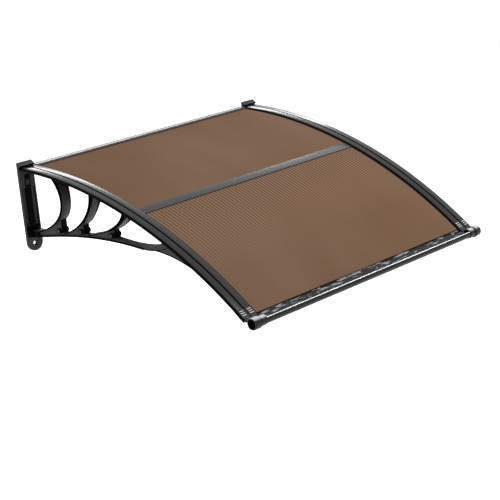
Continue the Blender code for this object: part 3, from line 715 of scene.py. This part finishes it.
def make_front_clip(name, side):
    half = STRIP_WIDTH / 2
    foot = -SHEET_BOTTOM_DROP
    section = [(half, -STRIP_OUTER_DROP)] + strip_top() + [(-half, -STRIP_INNER_DROP)]
    section += [(-SCREW_WALL_HALF, -STRIP_INNER_DROP), (-SCREW_WALL_HALF, foot)]
    section += [(-SCREW_SLOT_HALF, foot), (-SCREW_SLOT_HALF, -SCREW_SLOT_ROOF)]
    section += [(SCREW_SLOT_HALF, -SCREW_SLOT_ROOF), (SCREW_SLOT_HALF, foot)]
    section += [(half - STRIP_LIP, foot), (half - STRIP_LIP, -STRIP_OUTER_DROP)]
    start = END_ANGLE - CLIP_LENGTH / ARCH_RADIUS
    body = along_arch([side_section(side, section)], start, END_ANGLE, CLIP_STEPS)
    # The clip's side faces and its front end are painted near-black as shade
    body.normal_update()
    for face in body.faces:
        at_end = face.normal.dot(FORWARD_AT_END) > FACES_STRAIGHT
        face.material_index = 2 if abs(face.normal.x) > SHADED_EDGE_SLOPE or at_end else 0
    parts = [body]
    band_middle = (GROOVE_HALF_TOP + half - CLIP_RIB_MARGIN) / 2
    spread = CLIP_RIB_HALF_WIDTH / ARCH_RADIUS
    for number in range(CLIP_RIBS):
        middle = start + (number + 1) * CLIP_RIB_SPACING / ARCH_RADIUS
        for centre in (band_middle, -band_middle):
            low, high = centre - CLIP_RIB_HALF_LENGTH, centre + CLIP_RIB_HALF_LENGTH
            rib = rectangle((low, -CLIP_RIB_SUNK), (high, CLIP_RIB_PROUD))
            shape = along_arch([side_section(side, rib)], middle - spread, middle + spread, 1)
            # The ribs take the light grey painted highlight
            parts.append(painted(softened(shape, CLIP_RIB_ROUND), 1))
    piece(name, joined(parts), [BLACK_PART, CLIP_RIB_HIGHLIGHT, SHADE_BLACK])


# Brackets


def strap_widths(flare, steps):
    """Thickness of a strap from its flared top down."""
    return [STRAP_THICKNESS + flare * (1 - i / steps) ** STRAP_FLARE_FALLOFF for i in range(steps + 1)]


def under_rail(points):
    """Lowers points that stand over the middle of the rail to it."""
    return [(d, min(z, side_point(-RAIL_MIDDLE_DROP, angle_at(d))[1])) for d, z in points]


def crescent_rim(curve, foot, flare):
    """One crescent: a strap from the rail to the arm that thins into a tail along the arm's top."""
    line = bezier(curve, RIM_STEPS)
    turn = max(i for i, point in enumerate(line) if point[0] > foot[0] - TAIL_START)
    widths = []
    for i, strap in enumerate(strap_widths(flare, RIM_STEPS)):
        tail = min(max((i - turn + TAIL_LEAD) / TAIL_BLEND, 0.0), 1.0)
        widths.append(strap * (1 - tail) + TAIL_THICKNESS * tail)
    return under_rail(line + offset(line, widths)[::-1])


def band_over(curve, count, first, last):
    """A rim along the upper side of a curve, from one thickness to another."""
    line = bezier(curve, count)
    return line + offset(line, spaced(first, last, count))[::-1]


def arm_outlines():
    """Side view of the arm's web: the outer edge, then the four openings."""
    top = [side_point(-RAIL_TOP_DROP - 2 * GAP, a) for a in spaced(ARCH_START_ANGLE, END_ANGLE, ARM_STEPS)]
    top = [point for point in top if ARM_UNDERSIDE[0][0] < point[0] < CURL_UNDERSIDE[3][0]]
    outer = bezier(ARM_UNDERSIDE, WEB_STEPS) + bezier(CURL_UNDERSIDE, CURL_UNDER_STEPS)[1:] + top[::-1]
    outer.append((ARM_UNDERSIDE[0][0], -RAIL_TOP_DROP - 3 * GAP))
    wall = PLATE_THICKNESS - 2 * GAP
    lines = [bezier(curve, WEB_STEPS) for curve, _, _ in CRESCENTS]
    lines.append(bezier(CURL_TOP, CURL_TOP_STEPS)[:-1])
    backs = [[(wall, ARM_TOP_AT_WALL), (wall, 0.0)]]
    for curve, foot, flare in CRESCENTS:
        back = offset(bezier(curve, WEB_STEPS), strap_widths(flare, WEB_STEPS))
        last = max(i for i, point in enumerate(back) if point[0] > foot[0])
        (depth, z), (next_depth, next_z) = back[last], back[last + 1]
        share = (foot[0] - depth) / (next_depth - depth)
        backs.append([foot, (foot[0], z + share * (next_z - z))] + back[last::-1])
    return [outer] + [under_rail(line + back) for line, back in zip(lines, backs)]


def gusset_outline():
    depths = spaced(GUSSET_EDGE[3][0], GUSSET_RAIL_START, GUSSET_RAIL_STEPS)
    root = [side_point(-RAIL_MIDDLE_DROP, angle_at(depth)) for depth in depths]
    return bezier(GUSSET_EDGE, GUSSET_STEPS)[:-1] + root + [GUSSET_ROOT]


def plate_shapes(x):
    """Wall plate with seats round its two holes, a middle rib between two pockets, and a collar. The rib and
    the collar are painted near-black as shade.
    """
    half = PLATE_WIDTH / 2
    top = -RAIL_TOP_DROP - GAP
    floor = PLATE_THICKNESS - PLATE_SEAT_DEPTH
    outline = arc((x, PLATE_BOTTOM + half), half, pi, 2 * pi, PLATE_ROUND_STEPS)
    outline += [(x + half, top), (x - half, top)]
    holes = [circle((x, z), PLATE_HOLE_RADIUS, HOLE_SIDES) for z in PLATE_HOLES_Z]
    seats = [circle((x, z), PLATE_SEAT_RADIUS, HOLE_SIDES) for z in PLATE_HOLES_Z]
    front_loops = [outline] + seats
    for face in (-1, 1):
        near, far = sorted((x + face * PLATE_MIDDLE_HALF, x + face * (half - PLATE_LIP)))
        front_loops.append(rectangle((near, PLATE_POCKET_Z[0]), (far, PLATE_POCKET_Z[1])))
    back = from_wall([outline] + holes, 0.0, floor)
    front = softened(from_wall(front_loops, floor - GAP, PLATE_THICKNESS), PLATE_ROUND)
    middle = rectangle((x - PLATE_MIDDLE_HALF, PLATE_POCKET_Z[0]), (x + PLATE_MIDDLE_HALF, PLATE_RIB_TOP))
    rib = from_wall([middle, seats[0]], floor, PLATE_THICKNESS + GAP)
    collar_half = half - PLATE_LIP
    band = rectangle((x - collar_half, COLLAR_Z[0]), (x + collar_half, COLLAR_Z[1]))
    collar = softened(from_wall([band], floor, COLLAR_DEPTH), COLLAR_ROUND)
    return [painted(back, 1), painted(front, 1), painted(rib, 0), painted(collar, 0)]


def arm_sleeve(x):
    """Thicker root of the arm where it leaves the plate, painted near-black as shade, with its upward faces
    in the grained plastic.
    """
    loop = rectangle((PLATE_THICKNESS, SLEEVE_Z[0]), (SLEEVE_DEPTH, SLEEVE_Z[1]))
    shape = softened(along_x([loop], x, STRAP_WIDTH + 2 * SIDE_PLAY), SLEEVE_ROUND)
    shape.normal_update()
    for face in shape.faces:
        face.material_index = 1 if face.normal.z > FACES_ONE_WAY else 0
    return shape


def boss_shape(x, depth, z):
    """Round eye through the strap: a grained disc on each face, with the groove and rim round it painted
    near-black as shade.
    """
    half = STRAP_WIDTH / 2 + BOSS_PROUD
    radius = BOSS_RADIUS
    groove, disc = radius - BOSS_RIM_WIDTH, radius - BOSS_DISC_INSET
    floor = half - BOSS_GROOVE_DEPTH
    edge = [(radius, half - BOSS_RIM_DROP), (radius - BOSS_RIM_ROUND, half), (groove, half)]
    edge += [(groove - BOSS_GROOVE_SLANT, floor), (disc + BOSS_GROOVE_SLANT, floor)]
    edge += [(disc, half - BOSS_DISC_SUNK), (0.0, half - BOSS_CENTRE_SUNK)]
    profile = edge + [(r, -h) for r, h in reversed(edge)]
    place = Matrix.Translation((x, -depth, z)) @ Matrix.Rotation(pi / 2, 4, "Y")
    shape = turned(profile, BOSS_SIDES, place)
    shape.normal_update()
    centre = Vector((x, -depth, z))
    for face in shape.faces:
        away = face.calc_center_median() - centre
        in_disc = Vector((0.0, away.y, away.z)).length < disc
        face.material_index = 1 if in_disc and abs(face.normal.x) > FACES_SIDEWAYS else 0
    return shape


def shade_strip_under(x, depth, z):
    """Thin near-black strip painted as shade, from a boss down to the arm's lower rim."""
    nearest = min(bezier(ARM_UNDERSIDE, ARM_STEPS), key=lambda point: abs(point[0] - depth))
    near, far = depth + SHADE_STRIP_OFFSET, depth + SHADE_STRIP_OFFSET + SHADE_STRIP_WIDTH
    loop = rectangle((near, nearest[1] + SHADE_STRIP_OVER_RIM), (far, z - SHADE_STRIP_UNDER_BOSS))
    return along_x([loop], x, WEB_WIDTH + 2 * SIDE_PLAY)


def paint_side_shade(shape):
    """Side faces and feet of the straps are painted near-black as shade, the rest is the grained plastic."""
    shape.normal_update()
    for face in shape.faces:
        in_foot = face.calc_center_median().z < ARM_FOOT_Z
        face.material_index = 0 if abs(face.normal.x) > FACES_SIDEWAYS or in_foot else 1
    return shape


def make_bracket(name, side):
    x = side * BRACKET_CENTRE
    rail_half = RAIL_WIDTH / 2
    section = rectangle((x - rail_half, -RAIL_BOTTOM_DROP), (x + rail_half, -RAIL_TOP_DROP))
    parts = [painted(along_arch([section], angle_at(PLATE_THICKNESS / 2), END_ANGLE), 0)]
    parts += plate_shapes(side * PLATE_CENTRE) + [arm_sleeve(x)]
    web = painted(along_x(arm_outlines(), x, WEB_WIDTH), 1)
    # Front faces of the web in the foot are painted near-black as shade
    web.normal_update()
    for face in web.faces:
        if face.normal.y < -FACES_ONE_WAY and face.calc_center_median().z < ARM_FOOT_Z:
            face.material_index = 0
    parts.append(web)
    parts.append(painted(along_x([gusset_outline()], x, GUSSET_WIDTH), 1))
    rims = [crescent_rim(*one) for one in CRESCENTS]
    rims.append(band_over(ARM_UNDERSIDE, ARM_STEPS, *ARM_RIM))
    for rim in rims:
        parts.append(paint_side_shade(softened(along_x([rim], x, STRAP_WIDTH), RIM_ROUND)))
    for curve, foot, flare in CRESCENTS:
        for face in (-1, 1):
            beside = x + face * (STRAP_WIDTH - STRAP_FLANGE) / 2
            flange = along_x([crescent_rim(curve, foot, 2 * flare)], beside, STRAP_FLANGE)
            parts.append(paint_side_shade(softened(flange, FLANGE_ROUND)))
    edges = [band_over(CURL_UNDERSIDE, CURL_TOP_STEPS, *CURL_RIM)]
    edges.append(band_over(GUSSET_EDGE, WEB_STEPS, *GUSSET_RIM))
    for edge in edges:
        parts.append(paint_side_shade(along_x([edge], x, WEB_WIDTH + EDGE_RIM_EXTRA)))
    for depth, z in BOSSES:
        parts += [boss_shape(x, depth, z), painted(shade_strip_under(x, depth, z), 0)]
    # Finish 0 is the near-black painted shade, finish 1 the grained black plastic
    piece(name, joined(parts), [SHADE_BLACK, BLACK_WEB])


def make_wall_cap(name, side):
    """Ridged cap over the strip's end: rounded steps that fall towards the front."""
    bottom = -RAIL_TOP_DROP + GAP
    hood = 2 * SIDE_PLAY
    outline = [(0.0, bottom), (CAP_BODY_DEPTH, bottom), (CAP_BODY_DEPTH, hood), (CAP_HOOD_DEPTH, hood)]
    rise = (CAP_HEIGHT - CAP_NOSE) / CAP_STEPS
    for number in range(CAP_STEPS):
        depth = CAP_HOOD_DEPTH * (1 - number / CAP_STEPS)
        height = CAP_NOSE + rise * number
        outline += [(depth, height), (depth - CAP_STEP_SLANT, height + rise / 2)]
        outline.append((depth - CAP_STEP_RUN, height + rise))
    outline.append((0.0, CAP_HEIGHT - CAP_BACK_DROP))
    shape = softened(along_x([outline], side * PLATE_CENTRE, PLATE_WIDTH), CAP_ROUND)
    # Slanted ridge faces are painted grey as highlights, front-facing faces near-black as shade
    shape.normal_update()
    for face in shape.faces:
        slanted = FACES_ONE_WAY < face.normal.z < FACES_UP and face.normal.y < 0
        face.material_index = 1 if slanted else 2 if face.normal.y < -FACES_ONE_WAY else 0
    piece(name, shape, [BLACK_PART, CAP_RIDGE_HIGHLIGHT, SHADE_BLACK])


# Bar, rear rail, seal and gutter


def make_middle_bar(name):
    """Shallow crowned bar whose flanges hold the edges of both sheets."""
    top = -SHEET_TOP_DROP + BAR_PROUD
    under = -SHEET_TOP_DROP + GAP
    over = -SHEET_BOTTOM_DROP - 2 * GAP
    half = BAR_WIDTH / 2
    rounding = BAR_EDGE_ROUND
    section = [(-half, under), (-half, top - rounding), (-half + rounding, top), (half - rounding, top)]
    section += [(half, top - rounding), (half, under), (BAR_WEB_HALF, under), (BAR_WEB_HALF, over)]
    section += [(BAR_LOWER_HALF, over), (BAR_LOWER_HALF, over - BAR_FLANGE)]
    section += [(-BAR_LOWER_HALF, over - BAR_FLANGE), (-BAR_LOWER_HALF, over), (-BAR_WEB_HALF, over)]
    section.append((-BAR_WEB_HALF, under))
    base = side_point(0.0, BAR_ANGLE)
    slope, level = sin(BAR_ANGLE), cos(BAR_ANGLE)
    loop = [(base[0] + a * level + up * slope, base[1] - a * slope + up * level) for a, up in section]
    shape = softened(along_x([loop], 0.0, BETWEEN_STRIPS - 2 * GAP), BAR_SOFTENED)
    # Faces that do not look up are painted near-black as shade
    shape.normal_update()
    for face in shape.faces:
        face.material_index = 1 if face.normal.z < FACES_STRAIGHT else 0
    piece(name, shape, [BAR_METAL, SHADE_BLACK])


def make_rear_rail(name):
    back, front = SEAL_THICKNESS + GAP, REAR_RAIL_DEPTH
    skin = REAR_RAIL_SKIN
    over = -SHEET_TOP_DROP + GAP
    under = side_point(-SHEET_BOTTOM_DROP, angle_at(front))[1] - 2 * GAP
    outline = [(back, under - skin), (front, under - skin), (front, under), (back + skin, under)]
    outline += [(back + skin, -skin), (front - skin, -skin), (front - skin, over), (front, over)]
    corner = REAR_RAIL_ROUND
    outline += arc((front - corner, -corner), corner, 0.0, pi / 2, REAR_RAIL_ROUND_STEPS) + [(back, 0.0)]
    shape = along_x([outline], 0.0, BETWEEN_STRIPS - 2 * SIDE_PLAY)
    piece(name, shape, [RAIL_METAL])


def make_seal(name):
    low, high = (0.0, SEAL_TOP - SEAL_HEIGHT), (SEAL_THICKNESS, SEAL_TOP)
    shape = softened(along_x([rectangle(low, high)], 0.0, BETWEEN_STRIPS - 2 * SIDE_PLAY), SEAL_ROUND)
    piece(name, shape, [RUBBER])


def make_gutter(name):
    """Trough with a rolled rim, and the flange under the sheet's edge that leads into it."""
    centre = (GUTTER_DEPTH, GUTTER_Z)
    inner = GUTTER_RADIUS - GUTTER_WALL
    bead = GUTTER_RIM_RADIUS
    bead_centre = arc(centre, GUTTER_RADIUS - bead, GUTTER_RIM_ANGLE, GUTTER_RIM_ANGLE, 1)[0]
    outline = arc(centre, GUTTER_RADIUS, GUTTER_REAR_ANGLE, GUTTER_RIM_ANGLE, GUTTER_OUTER_STEPS)
    outline += arc(bead_centre, bead, GUTTER_RIM_ANGLE + BEAD_START, GUTTER_RIM_ANGLE + pi, BEAD_STEPS)
    outline += arc(centre, inner, GUTTER_RIM_ANGLE - BEAD_TUCK, GUTTER_REAR_ANGLE, GUTTER_INNER_STEPS)
    length = BETWEEN_STRIPS + 2 * GUTTER_OVERHANG
    trough = along_x([outline], 0.0, length)
    end = angle_at(SHEET_FRONT_DEPTH)
    start = end - GUTTER_APRON_GRIP / ARCH_RADIUS
    over = -SHEET_BOTTOM_DROP - GAP
    below = over - GUTTER_WALL
    rear = (GUTTER_DEPTH - GUTTER_RADIUS + GUTTER_WALL / 2, GUTTER_Z)
    lean = GUTTER_APRON_LEAN
    apron = [side_point(over, start), side_point(over, end), (rear[0] + lean, rear[1] + GUTTER_WALL)]
    apron += [(rear[0] - lean, rear[1] - GUTTER_WALL), side_point(below, end), side_point(below, start)]
    between_rails = 2 * (BRACKET_CENTRE - RAIL_WIDTH / 2 - SIDE_PLAY)
    flange = painted(along_x([apron], 0.0, between_rails), 1)
    # Faces on the rolled rim are painted light as a highlight; inward faces take the channel's painted
    # reflections
    trough.normal_update()
    for face in trough.faces:
        middle = face.calc_center_median()
        inward = Vector((0.0, -GUTTER_DEPTH - middle.y, GUTTER_Z - middle.z))
        turned_in = face.normal.dot(inward) > 0
        from_bead = Vector((0.0, middle.y + bead_centre[0], middle.z - bead_centre[1])).length
        on_bead = from_bead < BEAD_REACH * bead
        face.material_index = 2 if on_bead else 1 if turned_in else 0
    lip = rear[0] - STRIP_DEPTH - 2 * GAP
    saddle_top = side_point(over, END_ANGLE)[1]
    saddle = rectangle((rear[0] - lip, rear[1] - GUTTER_WALL), (rear[0] + GAP, saddle_top))
    ends = painted(along_x([saddle], 0.0, length), 1)
    finishes = [GUTTER_METAL, CHANNEL_METAL, RIM_HIGHLIGHT_METAL]
    piece(name, joined([trough, flange, ends]), finishes)


def make_outlet(name, side):
    """Round collar over the trough's end, open to the side, with a thicker outer band."""
    bore = GUTTER_RADIUS + GAP
    outside = bore + OUTLET_WALL
    band = outside + OUTLET_BAND_PROUD
    step = OUTLET_LENGTH - OUTLET_BAND
    end = OUTLET_LENGTH
    floor = outside - OUTLET_GROOVE_DEPTH
    edge, slant = OUTLET_ROUND, OUTLET_GROOVE_SLANT
    profile = [(bore, 0.0), (outside - edge, 0.0), (outside, edge), (outside, step - OUTLET_GROOVE)]
    profile += [(floor, step - OUTLET_GROOVE + slant), (floor, step - OUTLET_STEP_SLANT)]
    profile += [(band - slant, step), (band, step + edge)]
    profile += [(band - inset, end - back) for inset, back in OUTLET_NOSE]
    profile += [(bore + OUTLET_BORE_ROUND, end), (bore, end - edge)]
    trough_end = BETWEEN_STRIPS / 2 + GUTTER_OVERHANG
    place = Matrix.Translation((side * (trough_end - OUTLET_OVERLAP), -GUTTER_DEPTH, GUTTER_Z))
    shape = turned(profile, OUTLET_SIDES, place @ Matrix.Rotation(side * pi / 2, 4, "Y"))
    # The groove between sleeve and band is painted near-black as shade
    for face in shape.faces:
        middle = face.calc_center_median()
        out = Vector((0.0, middle.y + GUTTER_DEPTH, middle.z - GUTTER_Z)).length
        face.material_index = 1 if out < floor + GAP else 0
    piece(name, shape, [OUTLET_PLASTIC, SHADE_BLACK])


make_sheet("rear_sheet", angle_at(SHEET_REAR_DEPTH), BAR_ANGLE - SEAM_GAP / ARCH_RADIUS, BRONZE_REAR)
make_sheet("front_sheet", BAR_ANGLE + SEAM_GAP / ARCH_RADIUS, angle_at(SHEET_FRONT_DEPTH), BRONZE_FRONT)
make_middle_bar("middle_bar")
make_rear_rail("rear_rail")
make_seal("wall_seal")
make_gutter("front_gutter")
for word, sign in SIDES.items():
    make_bracket(f"{word}_bracket", sign)
    make_cover_strip(f"{word}_cover_strip", sign)
    make_wall_cap(f"{word}_wall_cap", sign)
    make_front_clip(f"{word}_front_clip", sign)
    make_outlet(f"{word}_gutter_outlet", sign)
for node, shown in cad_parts.items():
    if "_screw_" in node:
        for place in shown.material_slots:
            place.material = STEEL


# Camera


def camera_axes(azimuth, elevation, roll):
    """Right, up and backward directions of a camera at these angles."""
    back = Vector((sin(azimuth) * cos(elevation), -cos(azimuth) * cos(elevation), sin(elevation)))
    level = (-back).cross(Vector((0, 0, 1))).normalized()
    upright = level.cross(-back)
    right = level * cos(roll) + upright * sin(roll)
    up = -level * sin(roll) + upright * cos(roll)
    return right, up, back


def make_camera():
    right, up, back = camera_axes(CAMERA_AZIMUTH, CAMERA_ELEVATION, CAMERA_ROLL)
    place = Vector(CAMERA_AIM) + back * CAMERA_DISTANCE - right * CAMERA_LEFT - up * CAMERA_DOWN
    data = bpy.data.cameras.new("camera")
    data.sensor_width = SENSOR_WIDTH
    data.lens = SENSOR_WIDTH * FOCAL_PIXELS / PICTURE_WIDTH
    made = bpy.data.objects.new("camera", data)
    turn = Matrix((right, up, back)).transposed().to_4x4()
    made.matrix_world = Matrix.Translation(place) @ turn
    bpy.context.scene.collection.objects.link(made)
    bpy.context.scene.camera = made


make_camera()


# Light, floor and background


def area_light(name, place, aim, size, power):
    data = bpy.data.lights.new(name, "AREA")
    data.shape = "RECTANGLE"
    data.size, data.size_y = size
    data.energy = power
    made = bpy.data.objects.new(name, data)
    made.location = place
    made.rotation_euler = (Vector(aim) - Vector(place)).to_track_quat("-Z", "Y").to_euler()
    bpy.context.scene.collection.objects.link(made)


def white_rays(tree):
    """1 for camera, glossy and transmission rays, 0 for all others."""
    paths = tree.nodes.new("ShaderNodeLightPath")
    share = paths.outputs["Is Camera Ray"]
    for kind in ("Is Glossy Ray", "Is Transmission Ray"):
        either = tree.nodes.new("ShaderNodeMath")
        either.operation = "MAXIMUM"
        link(tree, share, either.inputs[0])
        link(tree, paths.outputs[kind], either.inputs[1])
        share = either.outputs[0]
    return share


def make_world():
    world = bpy.data.worlds.new("studio")
    bpy.context.scene.world = world
    world.use_nodes = True
    tree = world.node_tree
    soft = tree.nodes["Background"]
    soft.inputs["Color"].default_value = SOFT_COLOUR
    soft.inputs["Strength"].default_value = SOFT_STRENGTH
    white = tree.nodes.new("ShaderNodeBackground")
    white.inputs["Color"].default_value = WHITE
    white.inputs["Strength"].default_value = 1.0
    mix = tree.nodes.new("ShaderNodeMixShader")
    link(tree, white_rays(tree), mix.inputs[0])
    link(tree, soft.outputs[0], mix.inputs[1])
    link(tree, white.outputs[0], mix.inputs[2])
    link(tree, mix.outputs[0], tree.nodes["World Output"].inputs["Surface"])


def lifted(tree):
    """Adds white to what the camera and reflections see of the floor, so its shadows stay."""
    output = tree.nodes["Material Output"]
    glow = tree.nodes.new("ShaderNodeEmission")
    glow.inputs["Color"].default_value = WHITE
    link(tree, white_rays(tree), glow.inputs["Strength"])
    both = tree.nodes.new("ShaderNodeAddShader")
    link(tree, tree.nodes["Principled BSDF"].outputs[0], both.inputs[0])
    link(tree, glow.outputs[0], both.inputs[1])
    link(tree, both.outputs[0], output.inputs["Surface"])


def make_floor():
    mesh = bpy.data.meshes.new("floor")
    reach = FLOOR_REACH
    corners = [(x, y, FLOOR_LEVEL) for x, y in rectangle((-reach, -reach), (reach, reach))]
    mesh.from_pydata(corners, [], [(0, 1, 2, 3)])
    pale = Finish("pale_floor", (0.86, 0.86, 0.86), 0.9, Specular_IOR_Level=0.1)
    pale.tint(pale.ranged(pale.noise(0.8), 0.0, 0.2), (0.80, 0.80, 0.80))
    lifted(pale.tree)
    mesh.materials.append(pale.material)
    made = bpy.data.objects.new("floor", mesh)
    bpy.context.scene.collection.objects.link(made)


make_world()
make_floor()
for lamp in LAMPS:
    area_light(*lamp)
bpy.context.scene.view_settings.view_transform = "Standard"
